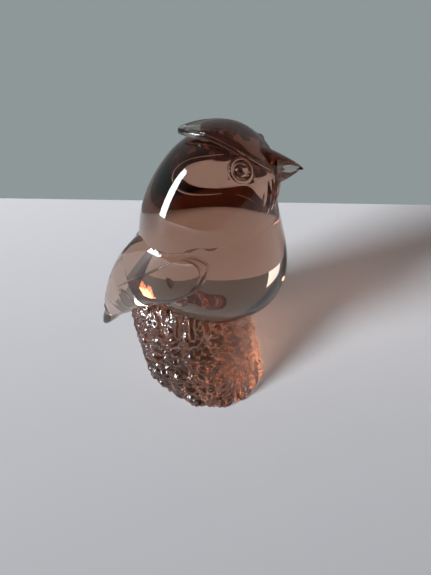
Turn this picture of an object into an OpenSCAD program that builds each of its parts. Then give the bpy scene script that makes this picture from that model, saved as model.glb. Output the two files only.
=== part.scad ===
// Solid crystal bird with a swept crest, perched on a bark stump.
// The bird faces -Y, its left side is +X, and the flat underside of the stump is at z = 0.
// In the station lists below, "ahead" is the distance from the origin towards -Y.

/* [Stump] */
// Longer way across the underside
stump_foot_len = 54; // [50:0.5:58]
// Shorter way across the underside
stump_foot_wid = 46; // [42:0.5:50]
// Turn of the longer way, from straight ahead towards the bird's right side
stump_turn = 45; // [0:5:90]
// Way across the stump just under the bird
stump_top_dia = 42.5; // [39:0.5:46]
// Height of the stump
stump_h = 37; // [34:0.5:40]
// How far the top leans back towards the tail
stump_lean = 7; // [5:0.5:9]
// How far the stump swells out under the tail, halfway up
stump_swell = 1.8; // [0:0.1:3]
// Depth of the bark furrows
bark_depth = 0.8; // [0.2:0.1:1.4]
// Number of bark ridges around the stump
bark_ridges = 15; // [9:1:21]

/* [Body] */
// How far ahead of the stump's middle the bird sits
perch_ahead = 1.7; // [0:0.1:3]
// How deep the belly is sunk into the stump
belly_seat = 6; // [5:0.5:7]
// Height of the body, from belly to crown
body_h = 64.5; // [62:0.5:67]
// Half width of the body at its widest
body_half_wid = 25; // [22:0.5:28]

/* [Crest] */
// Length of the crest, from the forehead to the swept tip
crest_len = 29.5; // [26:0.5:33]
// Half width of the crest
crest_half_wid = 9.8; // [8.5:0.1:11]
// Height of the rim band around the crest
rim_h = 1.8; // [1.2:0.1:2.6]
// Height of the crest's dome over the rim
crest_dome = 2.2; // [1.6:0.1:3.2]
// How far the rim reaches past the dome
rim_ledge = 0.7; // [0.3:0.1:1.2]

/* [Bill] */
// How far the bill stands out of the face
bill_len = 7.8; // [5.5:0.1:10]
// Height of the bill at its root
bill_h = 11; // [8:0.5:13]
// Half width of the bill at its root
bill_half_wid = 4.6; // [3.5:0.1:6]

/* [Eyes] */
// Radius of the eye bead
eye_r = 2; // [1.6:0.1:2.3]
// Radius of the ring around the eye, to the middle of its band
eye_ring_r = 2.9; // [2.7:0.1:3.6]
// Radius of the ring's band
eye_band_r = 0.7; // [0.4:0.1:1]

/* [Bib] */
// How far the bib's ridges stand out of the throat
bib_ridge = 0.9; // [0.5:0.1:1.4]
// Number of ridges across the bib
bib_ridges = 9; // [5:2:13]

/* [Wings] */
// Height of the wing at its widest
wing_h = 23; // [20:0.5:25]
// How far the next layer of feathers shows behind the wing
feather_step = 2.6; // [2:0.1:3.2]

/* [Tail] */
// Width of the tail at its root
tail_wid = 16.2; // [14:0.1:19]

/* [Feet] */
// Radius of a toe at its root
toe_r = 1.9; // [1.4:0.1:2.4]
// Distance between neighbouring toes
toe_pitch = 4.7; // [4:0.1:5.4]
// How far the toes hang down over the stump
toe_drop = 8; // [5:0.5:11]

/* [Hidden] */

glass = [0.72, 0.58, 0.52];
clear = [0.85, 0.82, 0.80];

belly_z = stump_h - belly_seat;
crown_z = belly_z + body_h;

// ---- curves and skins ----

// Smooth curve through v[1] at t = 0 and v[2] at t = 1, guided by the values on either side
function spline4(v, t) = v[1] + 0.5 * t * (v[2] - v[0]
    + t * (2 * v[0] - 5 * v[1] + 4 * v[2] - v[3] + t * (3 * (v[1] - v[2]) + v[3] - v[0])));

// The list's next value past either end, as if it went on straight
function beyond(list, i) = let (m = len(list) - 1)
    i < 0 ? 2 * list[0] - list[1] : i > m ? 2 * list[m] - list[m - 1] : list[i];

// The list's value at the place s along it, from 0 to its last index
function along(list, s) = let (i = max(0, min(floor(s), len(list) - 2)))
    spline4([for (k = [-1:2]) beyond(list, i + k)], s - i);

function unit(v) = v / norm(v);

// The angles of n points around a ring, the first and the last half a step from 0
function turns(n) = [for (k = [0:n - 1]) 360 * (k + 0.5) / n];

// An oval of n points round c, with the half axes u and v
function oval(c, u, v, n) = [for (a = turns(n)) c + cos(a) * u + sin(a) * v];

function total(list) = [for (v = list) 1] * list;
function middle(ring) = total(ring) / len(ring);

// Whether ring a runs anticlockwise, seen from the ring b that follows it
function anticlockwise(a, b) = let (n = len(a))
    total([for (k = [0:n - 1]) cross(a[k] - a[0], a[(k + 1) % n] - a[0])]) * (middle(b) - middle(a)) > 0;

// A closed solid through rings of points, one after another, with its ends filled in strips across
module skin(given) {
    n = len(given[0]);
    last = (len(given) - 1) * n;
    rings = anticlockwise(given[0], given[1]) ? given : [for (r = given) [for (k = [n - 1:-1:0]) r[k]]];
    sides = [for (i = [0:len(rings) - 2], k = [0:n - 1]) let (a = i * n + k, b = i * n + (k + 1) % n)
        each [[a, b + n, b], [a, a + n, b + n]]];
    ends = [for (k = [0:n / 2 - 2]) each [[k, k + 1, n - 2 - k, n - 1 - k],
        [last + n - 1 - k, last + n - 2 - k, last + k + 1, last + k]]];
    polyhedron([for (r = rings) each r], concat(sides, ends), 4);
}

// Keeps the size as it is, and works out the cut surfaces in it as one mesh
module cast() { resize([0, 0, 0]) children(); }

module both_sides(side) {
    if (side == "left") mirror([1, 0, 0]) children(); else children();
}

// ---- body ----

// From belly to crown at even steps of a half circle
body_axis = [2, 2, 2, 2, 1.5, 1.5, 3, 4, 4.5];
body_front = [0, 13, 22, 25.2, 23.6, 20.3, 17.8, 9.8, 0];
body_back = [0, 16, 24, 25.5, 24.3, 21, 16.4, 9.8, 0];
body_wid = [0, 0.56, 0.88, 0.99, 0.99, 0.93, 0.74, 0.42, 0];
body_steps = len(body_axis) - 1;
body_rings = 22;
body_sides = 36;

// A point on the body: s runs from the belly, 0, to the crown, 8, and a is 90 ahead and 0 at the left
function body_point(s, a) = let (c = along(body_axis, s))
    [body_half_wid * along(body_wid, s) * cos(a),
     -perch_ahead - c - (sin(a) > 0 ? along(body_front, s) : along(body_back, s)) * sin(a),
     belly_z + body_h * (1 - cos(180 * s / body_steps)) / 2];

function body_normal(s, a) = unit(cross(body_point(s, a + 1) - body_point(s, a - 1),
                                        body_point(s + 0.02, a) - body_point(s - 0.02, a)) * -1);

module body_form() {
    pole = 0.12;
    skin([for (i = [0:body_rings]) let (s = pole + (body_steps - 2 * pole) * i / body_rings)
        [for (a = turns(body_sides)) body_point(s, a)]]);
}

module body() {
    color(glass) body_form();
}

// ---- stump ----

stump_rings = 9;
stump_sides = 52;

// A point on the stump: t runs from the foot, 0, to the top, 1, and a is 90 ahead and 0 at the left
function stump_point(t, a) = let (
    half_len = (stump_foot_len + (stump_top_dia - stump_foot_len) * t) / 2,
    half_wid = (stump_foot_wid + (stump_top_dia - stump_foot_wid) * t) / 2,
    turned = a - stump_turn,
    plain = 1 / sqrt(pow(cos(turned) / half_wid, 2) + pow(sin(turned) / half_len, 2)),
    furrow = abs(sin(bark_ridges * a / 2 + 50 * sin(200 * t + 3 * a))) + 0.5 * sin(5 * a + 300 * t) - 1,
    r = plain * (1 - 0.05 * pow(t, 12)) + bark_depth * furrow + stump_swell * sin(180 * t) * max(0, -sin(a)))
    [r * cos(a), stump_lean * t - r * sin(a), stump_h * t];

module stump_form() {
    skin([for (i = [0:stump_rings])
        [for (a = turns(stump_sides)) stump_point(i / stump_rings, a)]]);
}

module stump() {
    color(glass) cast() difference() {
        stump_form();
        body_form();
    }
}

// ---- crest ----

crest_ahead = 6.2;
crest_z = crown_z - 0.5;
crest_top_ahead = 0.5;
// How far the crest drops from its top, to the back and to the front, as a share of the body's height
crest_bend = [0.000186, 0.000372];
crest_droop = crest_bend * body_h;
crest_sides = 32;
crest_edge = 0.5;
dome_rings = 6;

// A point of the crest's outline at the angle a, drawn in by the share q, lifted by h and then by dome
function crest_point(a, q, h, dome = 0) = let (
    ahead = crest_ahead + q * crest_len / 2 * cos(a),
    side = q * crest_half_wid * sin(a) * (0.96 + 0.3 * cos(a)),
    from_top = ahead - crest_top_ahead,
    z = crest_z - crest_droop[from_top > 0 ? 1 : 0] * pow(from_top, 2),
    fore = min(1, max(0, (ahead - crest_ahead + crest_len / 2) / crest_len * 1.4)))
    [side, -perch_ahead - ahead, z + h + dome * (0.25 + 0.75 * fore * fore * (3 - 2 * fore))];

function crest_ring(q, h, dome = 0) = [for (a = turns(crest_sides)) crest_point(-a, q, h, dome)];

rim_in = 1 - rim_ledge / crest_half_wid;

module rim_form() {
    skin([crest_ring(rim_in, 0), crest_ring(1, crest_edge), crest_ring(1, rim_h - crest_edge),
          crest_ring(rim_in, rim_h)]);
}

// The crest whole: rim and dome in one
module crest_form() {
    skin([crest_ring(rim_in, 0), crest_ring(1, crest_edge), crest_ring(1, rim_h - crest_edge),
          for (i = [0:dome_rings]) let (q = 84 * i / dome_rings)
              crest_ring(rim_in * cos(q), rim_h, crest_dome * sin(q))]);
}

module dome_form() {
    skin([for (i = [0:dome_rings]) let (q = 84 * i / dome_rings)
        crest_ring(rim_in * cos(q), rim_h, crest_dome * sin(q))]);
}

module crest() {
    color(glass) cast() difference() {
        dome_form();
        body_form();
    }
}

module crest_rim() {
    color(clear) cast() difference() {
        rim_form();
        body_form();
    }
}

// ---- bill ----

face_s = 5.9;
face = body_point(face_s, 90);
bill_root = 5;
bill_lift = 1.7;
bill_points = 12;
bill_rings = 6;

// Half of the bill's section at the share t of its length: up is 1 for the upper half, -1 for the lower
function bill_ring(t, up) = let (
    q = pow(1 - t, 0.8),
    h = bill_h / 2,
    c = face + [0, bill_root - (bill_root + bill_len * (up > 0 ? 1 : 0.86)) * t, bill_lift * t])
    [for (k = [0:bill_points - 1]) let (a = 180 * k / (bill_points - 1))
        c + [up * q * bill_half_wid * cos(a), 0, up * q * h * sin(a)]];

module half_bill(up) {
    skin([for (i = [bill_rings:-1:0]) bill_ring(i / bill_rings * 0.97, up)]);
}

module upper_bill() {
    color(clear) cast() difference() {
        half_bill(1);
        body_form();
        crest_form();
    }
}

module lower_bill() {
    color(clear) cast() difference() {
        half_bill(-1);
        body_form();
    }
}

// ---- eyes ----

eye_s = 6.45;
eye_a = 140;
eye_at = body_point(eye_s, eye_a);
eye_out = body_normal(eye_s, eye_a);

module at_eye() {
    translate(eye_at)
        rotate([0, acos(eye_out[2]), atan2(eye_out[1], eye_out[0])]) children();
}

module eye_ball() { at_eye() sphere(eye_r, $fn = 22); }

module ring_form() {
    at_eye() rotate_extrude($fn = 30) translate([eye_ring_r, 0]) circle(eye_band_r, $fn = 10);
}

module right_eye() {
    color(glass) cast() difference() { eye_ball(); body_form(); ring_form(); }
}
module left_eye() { both_sides("left") right_eye(); }
module right_eye_ring() {
    color(clear) cast() difference() { ring_form(); body_form(); }
}
module left_eye_ring() { both_sides("left") right_eye_ring(); }

// ---- wings ----

// From the shoulder to the tip: ahead, out to the side, up, half height and half thickness
wing_ahead = [7.5, 6, 1.5, -7, -17.5, -26.8, -33, -36];
wing_side = [19, 19.3, 19.5, 18.2, 13.5, 8.5, 5.5, 5];
wing_up = [37.7, 36.2, 32.5, 26, 18.5, 9, 0, -4];
wing_share_h = [0, 0.52, 0.83, 1, 0.97, 0.77, 0.56, 0.43];
wing_half_t = [0, 5, 6.6, 7.6, 8.6, 7.6, 6, 5];
wing_steps = len(wing_ahead) - 1;
wing_rings = 14;
wing_sides = 20;
feather_less = 0.9;
feather_from = 4.1;

function wing_spine(s) =
    [-along(wing_side, s), -perch_ahead - along(wing_ahead, s), belly_z + along(wing_up, s)];

// An oval across the wing at s, with its size taken in by less
function wing_ring(s, less, back) = let (
    c = wing_spine(s), t = unit(wing_spine(s + 0.05) - wing_spine(s - 0.05)),
    up = unit([0, -t[2], t[1]]), out = cross(t, up),
    h = max(0.1, along(wing_share_h, s) * wing_h / 2 - less), w = max(0.1, along(wing_half_t, s) - less))
    oval(c + back * t, h * up, w * out, wing_sides);

wing_end = wing_steps - 0.5;

// The wing from the station given to its tip
module wing_form(less = 0, back = 0, from = 0.05) {
    rings = ceil(wing_rings * (wing_end - from) / wing_end);
    skin([for (i = [0:rings]) wing_ring(from + (wing_end - from) * i / rings, less, back)]);
}

module right_wing() {
    color(glass) cast() difference() {
        wing_form();
        body_form();
        stump_form();
        mid_plane();
    }
}

// Everything on the left side of the bird
module mid_plane() { translate([0, -100, 0]) cube([100, 200, 200]); }

module left_wing() { both_sides("left") right_wing(); }

// Two more layers of feathers, each a little smaller and further back than the one before
module feathers() {
    for (i = [1:2]) wing_form(i * feather_less, i * feather_step, feather_from);
}

module right_primaries() {
    color(glass) cast() difference() {
        feathers();
        wing_form();
        body_form();
        stump_form();
        mid_plane();
    }
}
module left_primaries() { both_sides("left") right_primaries(); }

// ---- tail ----

tail_ahead = [-33.6, -37, -40.5, -42.3];
tail_up = [-3, -7.3, -11.8, -14.5];
tail_share = [1, 0.93, 0.87, 0.8];
tail_half_t = [4.6, 4.2, 3.4, 2.4];
tail_rings = 6;
tail_sides = 14;

module tail_form() {
    skin([for (i = [0:tail_rings]) let (s = 3 * i / tail_rings)
        oval([0, -perch_ahead - along(tail_ahead, s), belly_z + along(tail_up, s)],
             along(tail_share, s) * tail_wid / 2 * [-1, 0, 0],
             along(tail_half_t, s) * unit([0, 0.86, 0.5]), tail_sides)]);
}

module tail() {
    color(clear) cast() difference() {
        tail_form();
        body_form();
        for (side = ["left", "right"]) both_sides(side) {
            wing_form();
            feathers();
        }
        stump_form();
    }
}

// ---- feet ----

foot_ahead = -0.5;
foot_rise = 2;
toe_rings = 5;
toe_sides = 8;

// A toe laid over the stump's edge, d ahead of the middle toe
module toe(d) {
    a = 180 - asin((foot_ahead + stump_lean + d) / stump_top_dia * 2);
    skin([for (i = [0:toe_rings]) let (q = i / toe_rings, drop = (toe_drop + foot_rise) * q,
        t = 1 + (foot_rise - drop) / stump_h, r = toe_r * (1 - 0.35 * q) * (i == toe_rings ? 0.4 : 1))
        oval(stump_point(min(t, 1), a) + [0, 0, stump_h * max(0, t - 1)], [0, r, 0], [r, 0, 0], toe_sides)]);
}

module right_foot() {
    color(clear) cast() difference() {
        union() { for (d = [-1:1]) toe(d * toe_pitch); }
        body_form();
        stump_form();
    }
}
module left_foot() { both_sides("left") right_foot(); }

// ---- bib ----

bib_low = 4.9;
bib_top = 6.0;
bib_half = 32;
bib_rings = 5;
bib_root = 0.4;
bib_floor = 1.5;

// Across the bib at s: out over the ridges, then back under them inside the throat
function bib_ring(s) = let (n = 2 * bib_ridges, rise = sin(180 * (s - bib_low) / (bib_top - bib_low)))
    concat([for (k = [0:n]) let (a = 90 - bib_half + 2 * bib_half * k / n,
            h = (k % 2 == 0 ? 0.62 : 1) * min(1, 2 * sin(180 * k / n)) * rise)
            body_point(s, a) + (h * (bib_ridge + bib_root) - bib_root) * body_normal(s, a)],
           [for (k = [n:-1:0]) let (a = 90 - bib_half + 2 * bib_half * k / n)
            body_point(s, a) - bib_floor * body_normal(s, a)]);

module bib() {
    color(clear) cast() difference() {
        skin([for (i = [0:bib_rings]) bib_ring(bib_low + (bib_top - bib_low) * i / bib_rings)]);
        body_form();
        half_bill(-1);
    }
}

stump();
body();
crest();
crest_rim();
upper_bill();
lower_bill();
right_eye();
left_eye();
right_eye_ring();
left_eye_ring();
bib();
right_wing();
left_wing();
right_primaries();
left_primaries();
tail();
right_foot();
left_foot();
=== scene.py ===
import bpy
import numpy as np
from bpy.props import FloatProperty, FloatVectorProperty, IntProperty, PointerProperty
from mathutils import Matrix, Vector


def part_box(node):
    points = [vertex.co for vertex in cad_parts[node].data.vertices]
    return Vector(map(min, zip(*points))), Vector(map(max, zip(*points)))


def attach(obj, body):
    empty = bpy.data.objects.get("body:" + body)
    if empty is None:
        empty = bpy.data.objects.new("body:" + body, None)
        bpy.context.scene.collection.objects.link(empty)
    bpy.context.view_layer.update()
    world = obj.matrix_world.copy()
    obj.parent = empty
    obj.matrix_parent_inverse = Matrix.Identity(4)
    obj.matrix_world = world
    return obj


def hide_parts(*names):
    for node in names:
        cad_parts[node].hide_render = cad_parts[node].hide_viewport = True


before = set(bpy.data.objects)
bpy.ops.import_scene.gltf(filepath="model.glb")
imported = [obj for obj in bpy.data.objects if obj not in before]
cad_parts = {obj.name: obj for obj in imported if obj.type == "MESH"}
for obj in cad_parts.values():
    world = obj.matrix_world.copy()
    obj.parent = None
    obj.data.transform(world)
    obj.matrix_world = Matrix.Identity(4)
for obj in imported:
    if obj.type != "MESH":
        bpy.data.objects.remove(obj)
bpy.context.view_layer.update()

bl_info = {
    "name": "Crystal Bird",
    "version": (1, 0, 0),
    "blender": (4, 5, 0),
    "location": "View3D > Sidebar > Crystal Bird",
    "description": "A solid smoky crystal bird with a swept crest on a bark stump",
    "category": "Object",
}

BODY_LOW, BODY_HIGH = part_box("body")
MM = 0.001
FORMS = []  # the closed forms that the cast fuses, in order, each with the way it is fused

# Stations from belly to crown, 0 to 8, in millimetres; the last row is in shares of the half width
BODY_AXIS = (2, 2, 2, 2, 1.5, 1.5, 3, 4, 4.5)
BODY_FRONT = (0, 13, 22, 25.2, 23.6, 20.3, 17.8, 9.8, 0)
BODY_BACK = (0, 16, 24, 25.5, 24.3, 21, 16.4, 9.8, 0)
BODY_WIDE = (0, 0.47, 0.8, 1, 0.985, 0.9, 0.73, 0.49, 0)

# Stations along the wing, from the shoulder to the tip
WING_AHEAD = (7.5, 6, 1.5, -7, -17.5, -26.8, -33, -36)
WING_SIDE = (17.5, 18, 17.7, 15.8, 11.6, 7.7, 5.5, 5)
WING_LEAN = (0.15, 0.26, 0.38, 0.4, 0.33, 0.22, 0.1, 0)
WING_UP = (37.7, 36.8, 34, 27.8, 19.5, 9, 0, -4)
WING_TALL = (0, 0.5, 0.84, 1.02, 0.98, 0.77, 0.56, 0.43)
WING_THICK = (0, 5, 6.9, 8, 8.2, 7.2, 6, 5)

# Stations along the tail, from its root to its end
TAIL_AHEAD = (-33.6, -37, -40.5, -42.25)
TAIL_UP = (-3, -7.3, -11.8, -14.5)
TAIL_WIDE = (1, 0.93, 0.87, 0.8)
TAIL_THICK = (4.6, 4.2, 3.4, 2.4)
TAIL_TURN = (0.865, 0.503)  # the tail's thickness runs this way, back and up

# Where things sit on the body and the wings, as stations and degrees
BILL_STATION = 5.9
BILL_SUNK = 5  # how far the bill's root lies under the face, in millimetres
EYE_STATION, EYE_ANGLE = 6.45, 140
# Cuts round each eye: how far out each lies from the eye's ring, and its band's radius, in millimetres
EYE_SOCKET, EYE_GROOVE = (1.1, 0.5), (-0.8, 0.45)
RING_SHOWN = 0.85  # share of the ring's band that is left after polishing
BIB_LOW, BIB_TALL, BIB_SPREAD = 4.9, 1.1, 32
BIB_SUNK = 0.4  # the bib's border lies this far under the body, in millimetres
WING_ROOT, WING_END = 0.03, 6.5
FEATHER_ROOT = 3.4
FEATHER_LESS = 0.9  # each feather layer is this much smaller than the one before, in millimetres

# Lines cut into each wing: stations along the wing, and degrees round its section
WING_LINES = {
    "edge_line": ((2, 1.5, 1.2, 1.25, 1.5, 1.9, 2.4), (284, 275, 257, 242, 230, 224, 220)),
    "inner_line": ((2.2, 1.8, 1.6, 1.65, 1.85, 2.2, 2.6), (284, 275, 259, 247, 238, 232, 228)),
    "crescent": ((2.3, 2.7, 3.1, 3.5, 4, 4.4, 4.8), (286, 284, 283, 282, 284, 288, 294)),
}

# The crest's middle and highest point lie this far ahead of the perch, and its foot this far under the crown,
# in millimetres; it droops this fast ahead of that point and behind it
CREST_AHEAD, CREST_PEAK, CREST_SUNK = 6.2, 0.5, 0.5
CREST_DROOP = (0.024, 0.012)

# The stump: share taken in from side to side towards the top, and share taken off all round at its very top
STUMP_PINCH, STUMP_EASE = 0.26, 0.05
STUMP_TURN = np.pi / 4  # the foot's longer way is turned this far from straight ahead
TOE_START = 0.8  # the toes begin this far over the stump's top, in millimetres
BARK_END, POLISH_START = 0.034, 0.038  # heights in metres between which the frosted bark turns into polish
SHARP = np.radians(32)  # edges that turn more than this stay sharp

# The camera: where it stands, which way it faces over the floor, how far it looks down, and its lens
EYE = Vector((-0.12, -0.0365, 0.136))
FACING = Vector((0.9659, 0.2588, 0))
PITCH = np.radians(38)
LENS_MM, SENSOR_MM = 18.03, 24

# The floor's corners, across and ahead of the camera in metres: its far edge runs slightly askew
FLOOR_CORNERS = ((-2.0, 0.338), (2.0, 0.202), (2.0, -2.0), (-2.0, -2.0))
# Away from the camera it pales between these distances from the bird, in metres and by these factors, which
# is painted light, brighter on the far floor; and its grain darkens it to this share
FLOOR_NEAR, FLOOR_FAR, FLOOR_PAINTED_LIGHT, FLOOR_GRAIN = -0.1, 0.2, (0.8, 1.45), 0.985

# Lamps, aimed at the bird's middle: turn and rise in degrees, distance, width and height in metres, share of
# the window power, colour
BIRD_MIDDLE = Vector((0, 0, 0.05))
LAMPS = (
    ("window", 108, 17, 2.4, 0.56, 1.6, 4, (0.93, 0.96, 1.0)),
    ("bright_wall", 141, 20, 2.8, 0.8, 0.8, 13, (0.93, 0.96, 1.0)),
    ("far_gleam", 61, -9, 1.2, 0.4, 0.38, 0.125, (0.65, 0.85, 1.0)),
)


# ---- sizes and looks that can be set ----

def length(name, text, default):
    return FloatProperty(name=name, description=text, default=default, unit="LENGTH", precision=4)


class BirdSizes(bpy.types.PropertyGroup):
    perch_ahead: length("Perch ahead", "How far ahead of the stump's middle the bird sits", 0.0017)
    belly_height: length("Belly height", "Height of the lowest point of the belly", BODY_LOW[2])
    body_height: length("Body height", "From belly to crown", BODY_HIGH[2] - BODY_LOW[2])
    half_width: length("Half width", "Half width of the body at its widest", 0.025)
    waist: length("Waist", "How far the sides are taken in above the wings", 0.0016)
    crest_length: length("Crest length", "From the forehead to the swept tip", 0.0295)
    crest_half_width: length("Crest half width", "Half width of the crest", 0.0098)
    rim_height: length("Rim height", "Height of the band around the crest", 0.0018)
    crest_dome: length("Crest dome", "Height of the crest over its band", 0.0021)
    rim_ledge: length("Rim ledge", "How far the band reaches past the dome", 0.0013)
    bill_length: length("Bill length", "How far the bill stands out of the face", 0.0076)
    bill_height: length("Bill height", "Height of the bill at its root", 0.0135)
    bill_half_width: length("Bill half width", "Half width of the bill at its root", 0.0037)
    eye_radius: length("Eye radius", "Radius of the eye bead", 0.002)
    ring_radius: length("Ring radius", "Radius of the ring around the eye", 0.0029)
    ring_band: length("Ring band", "Radius of the ring's band", 0.0007)
    bib_ridge: length("Bib ridge", "How far the throat's ridges stand out", 0.0009)
    bib_ridges: IntProperty(name="Bib ridges", description="Ridges across the throat", default=9, min=3)
    wing_height: length("Wing height", "Height of the wing at its widest", 0.023)
    feather_step: length("Feather step", "How far each layer shows behind the wing", 0.0026)
    groove: length("Groove", "Depth of the lines cut into the wings", 0.0004)
    tail_width: length("Tail width", "Width of the tail at its root", 0.0162)
    toe_radius: length("Toe radius", "Radius of a toe at its root", 0.0019)
    toe_pitch: length("Toe pitch", "Distance between neighbouring toes", 0.0047)
    toe_drop: length("Toe drop", "How far the toes hang over the stump", 0.008)
    stump_height: length("Stump height", "Height of the stump", 0.037)
    stump_length: length("Stump length", "Longer way across the underside", 0.054)
    stump_width: length("Stump width", "Shorter way across the underside", 0.046)
    stump_top: length("Stump top", "Way across the stump under the bird", 0.0425)
    stump_lean: length("Stump lean", "How far the top leans back", 0.007)
    stump_swell: length("Stump swell", "How far the stump swells under the tail", 0.0018)
    bark_depth: length("Bark depth", "Depth of the bark furrows", 0.0008)
    bark_chips: length("Bark chips", "Depth of the fine chips in the bark", 0.00065)
    bark_ridges: IntProperty(name="Bark ridges", description="Ridges around the stump", default=15, min=5)


def colour(name, text, default):
    return FloatVectorProperty(
        name=name, description=text, default=default, subtype="COLOR", min=0.0, max=1.0)


def share(name, text, default):
    return FloatProperty(name=name, description=text, default=default, subtype="FACTOR", min=0.0, max=1.0)


class CrystalLook(bpy.types.PropertyGroup):
    smoke: colour("Smoke", "Colour that is left after the smoky crystal", (0.6, 0.325, 0.15))
    smoke_density: FloatProperty(
        name="Smoke density", description="How fast the crystal takes light away, per metre", default=46.0,
        min=0.0)
    polish: share("Polish", "Roughness of the polished crystal", 0.0)
    frost: share("Frost", "Roughness of the bark, which is left unpolished", 0.13)
    ripple: share("Ripple", "Faint waviness left by the mould", 0.25)
    passed: colour("Passed light", "Share of the lamps' light that each surface lets on", (0.42, 0.43, 0.44))
    ior: FloatProperty(name="Index", description="Refractive index of the crystal", default=1.58, min=1.0)


class StudioLook(bpy.types.PropertyGroup):
    floor: colour("Floor", "Colour of the floor", (0.51, 0.505, 0.515))
    wall: colour("Wall", "Colour beyond the floor", (0.272, 0.314, 0.318))
    beyond: colour("Room", "Colour of the room that the crystal sees", (0.215, 0.24, 0.24))
    shade: colour("Shaded side", "Colour of the room behind the camera", (0.03, 0.022, 0.02))
    ceiling: colour("Ceiling", "Colour overhead", (0.12, 0.12, 0.125))
    window_power: FloatProperty(
        name="Window power", description="Power that the lamps take their shares of, in watts", default=16.0,
        min=0.0)


# ---- surfaces ----

def spline(stations, s):
    """Smooth curve through values at 0, 1, 2 and so on: between two of them a cubic, whose slope and bend
    carry on from one to the next, and which runs out straight at both ends."""
    y = np.asarray(stations, float)
    n = len(y) - 1
    a = np.eye(n + 1)
    rows = np.arange(1, n)
    a[rows, rows - 1], a[rows, rows], a[rows, rows + 1] = 1, 4, 1
    bend = np.linalg.solve(a, np.concatenate([[0], 6 * (y[:-2] - 2 * y[1:-1] + y[2:]), [0]]))
    s = np.clip(s, 0, n)
    i = np.minimum(np.floor(s).astype(int), n - 1)
    t = s - i
    return ((1 - t) * y[i] + t * y[i + 1]
            + (((1 - t) ** 3 - (1 - t)) * bend[i] + (t ** 3 - t) * bend[i + 1]) / 6)


def grid(rows, cols, first=0.0, last=1.0):
    """Row values from first to last, and angles once round, as two matching arrays."""
    return np.meshgrid(np.linspace(first, last, rows), np.arange(cols) * 2 * np.pi / cols, indexing="ij")


def points(x, y, z):
    """Three matching arrays as one array of points."""
    return np.stack(np.broadcast_arrays(x, y, z), -1)


def unit(v):
    """Vectors drawn out or in to a length of 1."""
    return v / np.linalg.norm(v, axis=-1, keepdims=True)


def chips(u, v, across, along, seed):
    """Random heights from -1 to 1 on a lattice of across by along, which meets itself round u: u and v run
    from 0 to 1, and each square blends its four corners in straight lines, which leaves creases between
    squares."""
    heights = np.random.default_rng(seed).uniform(-1, 1, (across, along + 2))
    a, b = (u % 1) * across, np.clip(v, 0, 1) * along
    i, j = np.floor(a).astype(int), np.floor(b).astype(int)
    p, q = a - i, b - j
    i, k = i % across, (i + 1) % across
    return ((1 - p) * ((1 - q) * heights[i, j] + q * heights[i, j + 1])
            + p * ((1 - q) * heights[k, j] + q * heights[k, j + 1]))


def body_surface(o, s, a):
    """The egg of head, breast and back: at each height an oval round an axis that leans ahead, with its own
    reach to front and back, where s runs from the belly, 0, to the crown, 8, and a is a quarter turn ahead.
    Behind the breast a waist is taken in, under which the wings begin: a bell curve of s, eased in from front
    to back."""
    front, back = spline(BODY_FRONT, s), spline(BODY_BACK, s)
    reach = (front + back) / 2 * np.sin(a) + (front - back) / 2 * np.sin(a) ** 2
    behind = np.clip((0.25 - np.sin(a)) / 0.4, 0, 1)
    waist = o.waist / MM * np.exp(-((s - 4) / 0.6) ** 2) * behind ** 2 * (3 - 2 * behind)
    return points((o.half_width / MM * spline(BODY_WIDE, s) - waist) * np.cos(a),
                  -o.perch_ahead / MM - spline(BODY_AXIS, s) - reach,
                  o.belly_height / MM + o.body_height / MM * (1 - np.cos(np.pi * s / 8)) / 2)


def body_outward(o, s, a):
    """The body's outward direction, from small steps along both of its parameters."""
    e = 1e-3
    return -unit(np.cross(body_surface(o, s, a + e) - body_surface(o, s, a - e),
                          body_surface(o, s + e, a) - body_surface(o, s - e, a)))


def stump_oval(o, t, a):
    """The stump's half length at the height t, and its distance from the middle at the angle a: a turned oval
    at the foot, 0, that becomes a circle at the top, 1."""
    half_len = (o.stump_length + (o.stump_top - o.stump_length) * t) / 2 / MM
    half_wid = (o.stump_width + (o.stump_top - o.stump_width) * t) / 2 / MM
    turned = a - STUMP_TURN
    return half_len, 1 / np.sqrt((np.cos(turned) / half_wid) ** 2 + (np.sin(turned) / half_len) ** 2)


def stump_place(o, t, a, r):
    """A point of the stump at the distance r, leaning back with the height and taken in from side to side
    with its fourth power."""
    narrowed = 1 - STUMP_PINCH * t ** 4
    return narrowed * r * np.cos(a), o.stump_lean / MM * t - r * np.sin(a), o.stump_height / MM * t


def stump_surface(o, t, a):
    """A leaning stump with a swell under the tail, long wavy furrows, fine chips and an uneven edge round its
    foot, where t runs up from 0 to 1 and a is a quarter turn ahead."""
    plain = stump_oval(o, t, a)[1]
    furrow = (np.abs(np.sin(o.bark_ridges * a / 2 + 0.87 * np.sin(3.49 * t + 3 * a)))
              + 0.5 * np.sin(5 * a + 5.24 * t) - 1)
    u = a / (2 * np.pi) + 0.012 * np.sin(9 * t + 2 * a) + 0.02 * t
    streak = 1 - 2 * np.abs(chips(u, t, 62, 9, 3))
    fleck = chips(u - 0.05 * t, t, 150, 26, 5)
    knock = chips(u + 0.04 * t, t, 96, 44, 8)
    fine = 0.6 * streak + 0.8 * fleck + 0.7 * knock - 0.6
    foot = -(0.9 + 0.8 * chips(u, t, 40, 3, 9)) * (1 - np.clip(t / 0.07, 0, 1)) ** 2
    swell = o.stump_swell / MM * np.sin(np.pi * t) * np.maximum(0, -np.sin(a))
    r = (plain + o.bark_depth / MM * furrow + o.bark_chips / MM * fine + foot + swell
         - STUMP_EASE * plain * t ** 12)
    return points(*stump_place(o, t, a, r))


def stump_line(o, t, a):
    """The stump's plain surface at one angle, without its bark, as three arrays."""
    half_len, plain = stump_oval(o, t, a)
    return stump_place(o, t, a, plain - STUMP_EASE * half_len * t ** 12)


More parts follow.
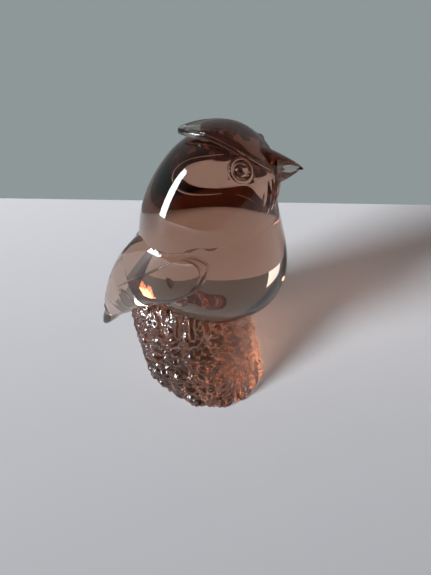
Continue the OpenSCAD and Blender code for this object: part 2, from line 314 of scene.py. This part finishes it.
def crest_surface(o, a, q, h, dome=0.0):
    """A point of the crest: the outline at the angle a, drawn in to the share q, drooping to front and back
    with the square of the distance from its peak, lifted by h and then by a dome that is thicker over the
    forehead."""
    half = o.crest_length / 2 / MM
    ahead = CREST_AHEAD + q * half * np.cos(a)
    side = q * o.crest_half_width / MM * np.sin(a) * (0.96 + 0.3 * np.cos(a))
    away = ahead - CREST_PEAK
    droop = np.where(away > 0, *CREST_DROOP) * away ** 2
    fore = np.clip((ahead - CREST_AHEAD + half) / (2 * half) * 1.4, 0, 1)
    top = (o.belly_height + o.body_height) / MM - CREST_SUNK
    return points(-side, -o.perch_ahead / MM - ahead,
                  top - droop + h + dome * (0.25 + 0.75 * fore * fore * (3 - 2 * fore)))


def wing_frame(s):
    """The wing's middle line, its direction, and its up and inward directions across it: the line's direction
    comes from a small step along it, and up is square to it in the upright plane."""
    def line(s):
        return points(-spline(WING_SIDE, s), -spline(WING_AHEAD, s), spline(WING_UP, s))
    along = unit(line(s + 0.01) - line(s - 0.01))
    up = unit(points(0 * s, -along[..., 2], along[..., 1]))
    return line(s), along, up, np.cross(along, up)


def wing_surface(o, s, a, less=0.0, back=0.0):
    """An oval carried along the wing's middle line, with its size taken in by less and its place moved on by
    back. Its sides are flattened towards the upper edge and sharpened towards the lower one by the power of
    the sine, and it leans, so that its lower edge stands further out."""
    middle, along, up, inward = wing_frame(s)
    tall = np.maximum(0.1, spline(WING_TALL, s) * o.wing_height / 2 / MM - less)[..., None]
    thick = np.maximum(0.1, spline(WING_THICK, s) - less)[..., None]
    lean = spline(WING_LEAN, s)[..., None]
    rise = np.cos(a)[..., None]
    side = (np.sign(np.sin(a)) * np.abs(np.sin(a)) ** (0.9 - 0.3 * np.cos(a)))[..., None]
    return (middle + back * along + (0, -o.perch_ahead / MM, o.belly_height / MM)
            + tall * rise * up + (thick * side + lean * tall * rise) * inward)


# ---- meshes ----

def coordinates(mesh):
    """A mesh's points as one array."""
    v = np.empty(len(mesh.vertices) * 3)
    mesh.vertices.foreach_get("co", v)
    return v.reshape(-1, 3)


def volume(mesh):
    """The volume inside a closed mesh: the sum of the tetrahedra from the origin to each triangle."""
    mesh.calc_loop_triangles()
    t = np.empty(len(mesh.loop_triangles) * 3, np.int32)
    mesh.loop_triangles.foreach_get("vertices", t)
    a, b, c = np.moveaxis(coordinates(mesh)[t.reshape(-1, 3)], 1, 0)
    return np.einsum("ij,ij->", a, np.cross(b, c)) / 6


def placed(name, data):
    """A new object in the scene, at the origin, from its mesh, camera or lamp."""
    thing = bpy.data.objects.new(name, data)
    bpy.context.scene.collection.objects.link(thing)
    return thing


def solid(name, verts, faces):
    """A closed form from its points in metres and its faces, which are turned outwards."""
    mesh = bpy.data.meshes.new(name)
    mesh.from_pydata(verts.tolist(), [], faces)
    if volume(mesh) < 0:
        mesh.flip_normals()
    mesh.update()
    if mesh.validate():
        raise RuntimeError(name + " has broken faces")
    return placed(name, mesh)


def closed_form(name, rings):
    """A closed form through rings of points in millimetres: squares between neighbouring rings, and a fan of
    triangles to the middle of the first and the last ring."""
    rows, cols = rings.shape[:2]
    verts = np.concatenate([rings.reshape(-1, 3), [rings[0].mean(0), rings[-1].mean(0)]]) * MM
    i, k = np.meshgrid(np.arange(rows - 1), np.arange(cols), indexing="ij")
    a, b = i * cols + k, i * cols + (k + 1) % cols
    squares = np.stack([a, b, b + cols, a + cols], -1).reshape(-1, 4)
    k, on = np.arange(cols), (np.arange(cols) + 1) % cols
    low, last = rows * cols, (rows - 1) * cols
    fans = np.concatenate([np.stack([on, k, np.full(cols, low)], -1),
                           np.stack([k + last, on + last, np.full(cols, low + 1)], -1)])
    return solid(name, verts, squares.tolist() + fans.tolist())


def joined(name, forms):
    """Several closed forms that keep clear of each other, as one object."""
    verts, faces, base = [], [], 0
    for form in forms:
        verts.append(coordinates(form.data))
        faces += [[n + base for n in p.vertices] for p in form.data.polygons]
        base += len(form.data.vertices)
        bpy.data.objects.remove(form)
    return solid(name, np.concatenate(verts), faces)


def mirrored(form):
    """The same form on the bird's other side, with its faces turned back outwards."""
    mesh = form.data.copy()
    mesh.transform(Matrix.Scale(-1, 4, (1, 0, 0)))
    mesh.flip_normals()
    return placed(form.name + "_mirrored", mesh)


def both_sides(name, forms):
    """Forms of one side together with their mirror images."""
    return joined(name, forms + [mirrored(f) for f in forms])


def add(form):
    """Hand a form to the cast, to be fused on."""
    FORMS.append(("UNION", form))


def cut(form):
    """Hand a form to the cast, to be cut out."""
    FORMS.append(("DIFFERENCE", form))


def tube_along(name, path, radius, sides=12):
    """A round tube along a path of points, with a radius at each: the path's direction and a steady side
    direction give each ring."""
    d = unit(np.gradient(path, axis=0))
    side = unit(np.cross(d, (0.31, 0.17, 0.94)))
    up = np.cross(side, d)
    a = np.arange(sides) * 2 * np.pi / sides
    return closed_form(name, path[:, None] + radius[:, None, None] * (
        np.cos(a)[None, :, None] * side[:, None] + np.sin(a)[None, :, None] * up[:, None]))


# ---- pieces ----

class CRYSTAL_OT_body(bpy.types.Operator):
    """Make the egg-shaped head, breast and back"""
    bl_idname = "crystal.body"
    bl_label = "Body"

    def execute(self, context):
        o = context.scene.bird_sizes
        s, a = grid(124, 120, 0.03, 7.97)  # just short of both poles, which the form's fans close
        add(closed_form("body_form", body_surface(o, s, a)))
        return {"FINISHED"}


class CRYSTAL_OT_stump(bpy.types.Operator):
    """Make the bark stump"""
    bl_idname = "crystal.stump"
    bl_label = "Stump"

    def execute(self, context):
        o = context.scene.bird_sizes
        t, a = grid(120, 450)
        add(closed_form("stump_form", stump_surface(o, t, a)))
        return {"FINISHED"}


class CRYSTAL_OT_crest(bpy.types.Operator):
    """Make the domed crest with its band"""
    bl_idname = "crystal.crest"
    bl_label = "Crest"

    def execute(self, context):
        o = context.scene.bird_sizes
        inner = 1 - o.rim_ledge / o.crest_half_width
        h, dome = o.rim_height / MM, o.crest_dome / MM
        # Rings of the band and then of the dome: share of the outline, lift and rise of the dome
        rim = [(0.3, 0, 0), (0.8, 0, 0), (inner, 0.03, 0), (0.985, 0.2, 0), (1, 0.5, 0), (1, h - 0.5, 0),
               (0.985, h - 0.2, 0), (0.965, h - 0.04, 0), (inner + 0.012, h, 0), (inner - 0.005, h - 0.22, 0)]
        turn = np.linspace(0.02, 1.5, 22)
        bulge = [(inner * 0.99 * np.cos(v), h - 0.2, dome * np.sin(v) + 0.2 * np.sin(v)) for v in turn]
        q, lift, rise = np.array(rim + bulge).T[..., None]
        a = np.arange(110)[None] * 2 * np.pi / 110
        add(closed_form("crest_form", crest_surface(o, a, q, lift, rise)))
        return {"FINISHED"}


class CRYSTAL_OT_bill(bpy.types.Operator):
    """Make the bill, with a ridge along its top, a line along its gape and a longer upper half"""
    bl_idname = "crystal.bill"
    bl_label = "Bill"

    def execute(self, context):
        o = context.scene.bird_sizes
        t, a = grid(40, 56, 0.0, 0.985)
        up = np.clip((np.sin(a) + 0.25) / 0.5, 0, 1)
        reach = 0.86 + 0.14 * up * up * (3 - 2 * up)
        ridge = 1 + 0.05 * np.clip(np.sin(a), 0, 1) ** 12 - 0.09 * np.exp(-(np.sin(a) / 0.13) ** 2)
        side = np.sign(np.cos(a)) * np.abs(np.cos(a)) ** 0.45
        root = body_surface(o, np.array(BILL_STATION), np.array(np.pi / 2))
        add(closed_form("bill_form", points(
            (1 - t) ** 0.6 * ridge * o.bill_half_width / MM * side,
            root[1] + BILL_SUNK - (BILL_SUNK + o.bill_length / MM * reach) * t,
            root[2] + 1.7 * t + (1 - t) ** 0.8 * ridge * o.bill_height / 2 / MM * np.sin(a))))
        return {"FINISHED"}


class CRYSTAL_OT_eyes(bpy.types.Operator):
    """Make the eye beads, their rings and the grooves inside and around each ring"""
    bl_idname = "crystal.eyes"
    bl_label = "Eyes"

    def execute(self, context):
        o = context.scene.bird_sizes
        s, a = np.array(EYE_STATION), np.array(np.radians(EYE_ANGLE))
        middle, out = body_surface(o, s, a), body_outward(o, s, a)
        side = unit(np.cross(out, (0, 0, 1)))
        up = np.cross(side, out)

        def ball(radius):
            """A ball: rings whose radius is the sine of the angle from its pole."""
            v, t = grid(26, 36, 0.06, np.pi - 0.06)
            return middle + radius * (np.sin(v) * np.cos(t))[..., None] * side + radius * (
                np.sin(v) * np.sin(t))[..., None] * up + radius * np.cos(v)[..., None] * out

        def ring(name, radius, band, rows=60, cols=16):
            """A ring round the eye: a small circle carried round a larger one."""
            t, b = (v.ravel() for v in grid(rows, cols, 0, 2 * np.pi * (rows - 1) / rows))
            r = radius + band * np.cos(b)
            v = (middle + (r * np.cos(t))[:, None] * side + (r * np.sin(t))[:, None] * up
                 + (band * np.sin(b))[:, None] * out)
            i, k = np.meshgrid(np.arange(rows), np.arange(cols), indexing="ij")
            j, m = (i + 1) % rows, (k + 1) % cols
            f = np.stack([i * cols + k, j * cols + k, j * cols + m, i * cols + m], -1).reshape(-1, 4)
            return solid(name, v * MM, f.tolist())

        r, band = o.ring_radius / MM, o.ring_band / MM
        for name, (further, width) in (("eye_sockets", EYE_SOCKET), ("eye_grooves", EYE_GROOVE)):
            cut(both_sides(name, [ring(name, r + further, width)]))
        add(both_sides("eye_rings", [ring("ring", r, band * RING_SHOWN)]))
        add(both_sides("eye_beads", [closed_form("bead", ball(o.eye_radius / MM))]))
        return {"FINISHED"}


class CRYSTAL_OT_bib(bpy.types.Operator):
    """Make the ridged throat"""
    bl_idname = "crystal.bib"
    bl_label = "Bib"

    def execute(self, context):
        o = context.scene.bird_sizes
        n = 12 * o.bib_ridges
        s, k = np.meshgrid(np.linspace(BIB_LOW, BIB_LOW + BIB_TALL, 40), np.arange(n + 1), indexing="ij")
        a = np.pi / 2 + np.radians(BIB_SPREAD) * (2 * k / n - 1)
        rise = np.sin(np.pi * (s - BIB_LOW) / BIB_TALL) * np.minimum(1, 2 * np.sin(np.pi * k / n))
        h = (0.58 - 0.42 * np.cos(2 * np.pi * o.bib_ridges * k / n)) * rise
        out, at = body_outward(o, s, a), body_surface(o, s, a)
        front = at + (h * (o.bib_ridge / MM + BIB_SUNK) - BIB_SUNK)[..., None] * out
        back = (at - 1.5 * out)[:, ::-1]
        add(closed_form("bib_form", np.concatenate([front, back], 1)))
        return {"FINISHED"}


class CRYSTAL_OT_wings(bpy.types.Operator):
    """Make both wings, the feather layers behind them and the lines cut into them"""
    bl_idname = "crystal.wings"
    bl_label = "Wings"

    def execute(self, context):
        o = context.scene.bird_sizes
        s, a = grid(90, 72, WING_ROOT, WING_END)
        wing = closed_form("wing_form", wing_surface(o, s, a))
        s, a = grid(50, 60, FEATHER_ROOT, WING_END)
        layers = [closed_form("feathers_%d" % i, wing_surface(
            o, s, a, FEATHER_LESS * i, o.feather_step / MM * i)) for i in (1, 2)]
        for form in [wing] + layers:
            other = mirrored(form)
            add(form)
            add(other)
        t = np.linspace(0, 1, 60)
        width = o.groove / MM * np.sqrt(np.clip(4.4 * t * (1 - t), 0.02, 1))
        for name, (along, turn) in WING_LINES.items():
            path = wing_surface(o, spline(along, 6 * t), np.radians(spline(turn, 6 * t)))
            cut(both_sides(name, [tube_along(name, path, width)]))
        return {"FINISHED"}


class CRYSTAL_OT_tail(bpy.types.Operator):
    """Make the short tail"""
    bl_idname = "crystal.tail"
    bl_label = "Tail"

    def execute(self, context):
        o = context.scene.bird_sizes
        s, a = grid(40, 60, 0, 3)
        thick = spline(TAIL_THICK, s)
        add(closed_form("tail_form", points(
            spline(TAIL_WIDE, s) * o.tail_width / 2 / MM * np.cos(a),
            -o.perch_ahead / MM - spline(TAIL_AHEAD, s) + thick * np.sin(a) * TAIL_TURN[0],
            o.belly_height / MM + spline(TAIL_UP, s) + thick * np.sin(a) * TAIL_TURN[1])))
        return {"FINISHED"}


class CRYSTAL_OT_feet(bpy.types.Operator):
    """Make the toes that hang over the stump's edge"""
    bl_idname = "crystal.feet"
    bl_label = "Feet"

    def execute(self, context):
        o = context.scene.bird_sizes
        toes = []
        for place in (-1, 0, 1):
            ahead = -0.5 + (o.stump_lean + place * o.toe_pitch) / MM
            a0 = np.pi - np.arcsin(ahead / (o.stump_top / MM) * 2)
            q, a = grid(26, 24)
            t = 1 + (TOE_START - (o.toe_drop / MM + TOE_START) * q) / (o.stump_height / MM)
            r = o.toe_radius / MM * (1 - 0.35 * q) * np.sqrt(np.clip((1.02 - q) / 0.14, 0, 1))
            plain = stump_line(o, np.minimum(t, 1), a0)
            toes.append(closed_form("toe", points(
                plain[0] + r * np.cos(a), plain[1] + r * np.sin(a),
                plain[2] + o.stump_height / MM * np.maximum(0, t - 1))))
        add(both_sides("toes", toes))
        return {"FINISHED"}


class CRYSTAL_OT_cast(bpy.types.Operator):
    """Fuse the forms into one casting and give it the crystal"""
    bl_idname = "crystal.cast"
    bl_label = "Cast"

    def execute(self, context):
        base = FORMS[0][1]
        base.name = "crystal_bird"
        # Each step has to change the volume its way, because a step that fails leaves the form as it is
        for way, form in FORMS[1:]:
            before = volume(base.data)
            step = base.modifiers.new("fuse", "BOOLEAN")
            step.operation, step.solver, step.object = way, "MANIFOLD", form
            fused = bpy.data.meshes.new_from_object(base.evaluated_get(context.evaluated_depsgraph_get()))
            base.modifiers.remove(step)
            base.data = fused
            change = volume(fused) - before
            print(way, form.name, len(fused.vertices), "%.1f mm3" % (change * 1e9))
            if (change > 0) != (way == "UNION") or abs(change) < 1e-12:
                raise RuntimeError(form.name + " did not fuse")
            bpy.data.objects.remove(form)
        mesh = base.data
        mesh.name = "crystal_bird"
        mesh.shade_smooth()
        mesh.set_sharp_from_angle(angle=SHARP)
        mesh.materials.clear()
        mesh.materials.append(crystal(context.scene.crystal_look))
        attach(base, "root")
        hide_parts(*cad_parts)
        return {"FINISHED"}


# ---- crystal ----

def set_inputs(node, constants):
    """Set a node's inputs, given by name or number, to constants."""
    for name, value in constants.items():
        node.inputs[name].default_value = value


def maker(tree):
    """Two functions for a node tree: one makes a node, with the constants of its inputs and its settings, and
    one links an output to an input."""
    def node(kind, constants=None, **settings):
        made = tree.nodes.new("ShaderNode" + kind)
        for name, value in settings.items():
            setattr(made, name, value)
        set_inputs(made, constants or {})
        return made
    return node, tree.links.new


def new_finish(name, constants):
    """A material, its node tree and its surface shader, on which these constants are set."""
    material = bpy.data.materials.new(name)
    material.use_nodes = True
    shader = material.node_tree.nodes["Principled BSDF"]
    set_inputs(shader, constants)
    return material, material.node_tree, shader


def crystal(look):
    """Clear smoky crystal: a polished glass surface round a body that takes light away with depth. The bark,
    which ends where the stump does, is frosted. Light from the lamps passes straight through on its way to
    what lies under the glass, with a share held back."""
    material, tree, glass = new_finish("smoky_crystal", {
        "Base Color": (1, 1, 1, 1), "IOR": look.ior, "Transmission Weight": 1})
    node, link = maker(tree)
    out = tree.nodes["Material Output"]
    place, height = node("TexCoord"), node("SeparateXYZ")
    frost = node("MapRange", {"From Min": BARK_END, "From Max": POLISH_START,
                              "To Min": look.frost, "To Max": look.polish})
    link(place.outputs["Object"], height.inputs[0])
    link(height.outputs["Z"], frost.inputs["Value"])
    link(frost.outputs["Result"], glass.inputs["Roughness"])
    flow = node("TexNoise", {"Scale": 45, "Detail": 1})
    ripple = node("Bump", {"Strength": look.ripple, "Distance": MM})
    link(place.outputs["Object"], flow.inputs["Vector"])
    link(flow.outputs["Fac"], ripple.inputs["Height"])
    link(ripple.outputs["Normal"], glass.inputs["Normal"])
    clear = node("BsdfTransparent", {"Color": (*look.passed, 1)})
    rays, both = node("LightPath"), node("MixShader")
    link(rays.outputs["Is Shadow Ray"], both.inputs[0])
    link(glass.outputs[0], both.inputs[1])
    link(clear.outputs[0], both.inputs[2])
    link(both.outputs[0], out.inputs["Surface"])
    smoke = node("VolumeAbsorption", {"Color": (*look.smoke, 1), "Density": look.smoke_density})
    link(smoke.outputs[0], out.inputs["Volume"])
    return material


# ---- stage ----

class CRYSTAL_OT_stage(bpy.types.Operator):
    """Make the camera, the floor, the room and the lamps"""
    bl_idname = "crystal.stage"
    bl_label = "Stage"

    def execute(self, context):
        look = context.scene.studio_look
        scene = context.scene
        scene.view_settings.view_transform = "Standard"
        camera = placed("camera", bpy.data.cameras.new("camera"))
        camera.data.sensor_fit = "VERTICAL"
        camera.data.sensor_height = SENSOR_MM
        camera.data.lens = LENS_MM
        camera.data.clip_start = 0.005
        camera.location = EYE
        look_at = FACING * np.cos(PITCH) - Vector((0, 0, np.sin(PITCH)))
        camera.rotation_euler = look_at.to_track_quat("-Z", "Y").to_euler()
        scene.camera = camera

        side = Vector((FACING.y, -FACING.x, 0))
        foot = Vector((EYE.x, EYE.y, -1e-4))
        mesh = bpy.data.meshes.new("floor")
        mesh.from_pydata([foot + side * x + FACING * y for x, y in FLOOR_CORNERS], [], [(3, 2, 1, 0)])
        mesh.materials.append(floor_finish(look))
        placed("floor", mesh)

        scene.world = bpy.data.worlds.new("room")
        scene.world.use_nodes = True
        room(scene.world.node_tree, look)

        for name, turn, rise, away, wide, tall, power, tint in LAMPS:
            lamp = bpy.data.lights.new(name, "AREA")
            lamp.shape, lamp.size, lamp.size_y = "RECTANGLE", wide, tall
            lamp.energy = look.window_power * power
            lamp.color = tint
            turn, rise = np.radians(turn), np.radians(rise)
            d = Vector((np.cos(turn) * np.cos(rise), np.sin(turn) * np.cos(rise), np.sin(rise)))
            lit = placed(name, lamp)
            lit.location = BIRD_MIDDLE + d * away
            lit.rotation_euler = d.to_track_quat("Z", "Y").to_euler()
            # Only the window shows as a reflection, and only the bright wall lights the table, so neither the
            # gleam nor the shadow is doubled
            lit.visible_glossy = name == "window"
            lit.visible_diffuse = name == "bright_wall"
        return {"FINISHED"}


def floor_finish(look):
    """A pale matt table, painted paler towards its far side as painted light, with the faintest mottling: the
    colour times a share that grows with the distance ahead, which is the painted light, times noise just
    under 1."""
    material, tree, matt = new_finish("pale_floor", {"Roughness": 0.6, "Specular IOR Level": 0.2})
    node, link = maker(tree)
    place, noise = node("TexCoord"), node("TexNoise", {"Scale": 90})
    ahead = node("VectorMath", {1: FACING}, operation="DOT_PRODUCT")
    # Painted light: the floor's colour is made brighter the further ahead it lies
    painted_light = node("MapRange", {"From Min": FLOOR_NEAR, "From Max": FLOOR_FAR,
                             "To Min": FLOOR_PAINTED_LIGHT[0], "To Max": FLOOR_PAINTED_LIGHT[1]})
    grain = node("MapRange", {"To Min": FLOOR_GRAIN})
    both = node("Math", operation="MULTIPLY")
    tint = node("Mix", data_type="RGBA", blend_type="MULTIPLY")
    tint.inputs["Factor"].default_value = 1
    tint.inputs["A"].default_value = (*look.floor, 1)
    link(place.outputs["Object"], noise.inputs["Vector"])
    link(place.outputs["Object"], ahead.inputs[0])
    link(ahead.outputs["Value"], painted_light.inputs["Value"])
    link(noise.outputs["Fac"], grain.inputs["Value"])
    link(painted_light.outputs["Result"], both.inputs[0])
    link(grain.outputs["Result"], both.inputs[1])
    link(both.outputs["Value"], tint.inputs["B"])
    link(tint.outputs["Result"], matt.inputs["Base Color"])
    return material


def room(tree, look):
    """The room round the table, by direction alone: the wall's colour all round for the camera, and for
    light, glass and gloss the room's own, with a dim ceiling overhead and a dark side behind the camera."""
    tree.nodes.clear()
    node, link = maker(tree)
    out, light = node("OutputWorld"), node("Background")
    place, rays, split = node("TexCoord"), node("LightPath"), node("SeparateXYZ")
    link(place.outputs["Generated"], split.inputs[0])

    def eased(source, low, high):
        """0 below low, 1 above high, and smooth between them."""
        ease = node("MapRange", {"From Min": low, "From Max": high}, interpolation_type="SMOOTHSTEP")
        link(source, ease.inputs["Value"])
        return ease.outputs["Result"]

    def mixed(factor, a, b):
        """From a to b, which are colours or outputs, as the factor goes from 0 to 1."""
        mix = node("Mix", data_type="RGBA")
        link(factor, mix.inputs["Factor"])
        for socket, value in ((mix.inputs[6], a), (mix.inputs[7], b)):
            if isinstance(value, bpy.types.NodeSocket):
                link(value, socket)
            else:
                socket.default_value = (*value, 1)
        return mix.outputs[2]

    behind = node("VectorMath", {1: -FACING}, operation="DOT_PRODUCT")
    link(place.outputs["Generated"], behind.inputs[0])
    sides = mixed(eased(behind.outputs["Value"], -0.1, 0.6), look.beyond, look.shade)
    seen = mixed(eased(split.outputs["Z"], 0.45, 0.85), sides, look.ceiling)
    link(mixed(rays.outputs["Is Camera Ray"], seen, look.wall), light.inputs["Color"])
    link(light.outputs[0], out.inputs["Surface"])


# ---- panel ----

class CRYSTAL_PT_panel(bpy.types.Panel):
    """Sizes, finishes and pieces of the crystal bird"""
    bl_idname = "CRYSTAL_PT_panel"
    bl_label = "Crystal Bird"
    bl_space_type = "VIEW_3D"
    bl_region_type = "UI"
    bl_category = "Crystal Bird"

    def draw(self, context):
        for group in (context.scene.bird_sizes, context.scene.crystal_look, context.scene.studio_look):
            box = self.layout.box()
            for name in group.__annotations__:
                box.prop(group, name)
        for piece in PIECES:
            self.layout.operator(piece.bl_idname)


PIECES = (CRYSTAL_OT_body, CRYSTAL_OT_stump, CRYSTAL_OT_crest, CRYSTAL_OT_bill, CRYSTAL_OT_bib,
          CRYSTAL_OT_wings, CRYSTAL_OT_tail, CRYSTAL_OT_feet, CRYSTAL_OT_eyes, CRYSTAL_OT_cast,
          CRYSTAL_OT_stage)
GROUPS = (("bird_sizes", BirdSizes), ("crystal_look", CrystalLook), ("studio_look", StudioLook))


def register():
    for name, group in GROUPS:
        bpy.utils.register_class(group)
        setattr(bpy.types.Scene, name, PointerProperty(type=group))
    for part in PIECES + (CRYSTAL_PT_panel,):
        bpy.utils.register_class(part)


def unregister():
    for part in (CRYSTAL_PT_panel,) + PIECES[::-1]:
        bpy.utils.unregister_class(part)
    for name, group in GROUPS[::-1]:
        delattr(bpy.types.Scene, name)
        bpy.utils.unregister_class(group)


def main():
    register()
    bpy.ops.crystal.body()
    bpy.ops.crystal.stump()
    bpy.ops.crystal.crest()
    bpy.ops.crystal.bill()
    bpy.ops.crystal.bib()
    bpy.ops.crystal.wings()
    bpy.ops.crystal.tail()
    bpy.ops.crystal.feet()
    bpy.ops.crystal.eyes()
    bpy.ops.crystal.cast()
    bpy.ops.crystal.stage()


if __name__ == "__main__":
    main()
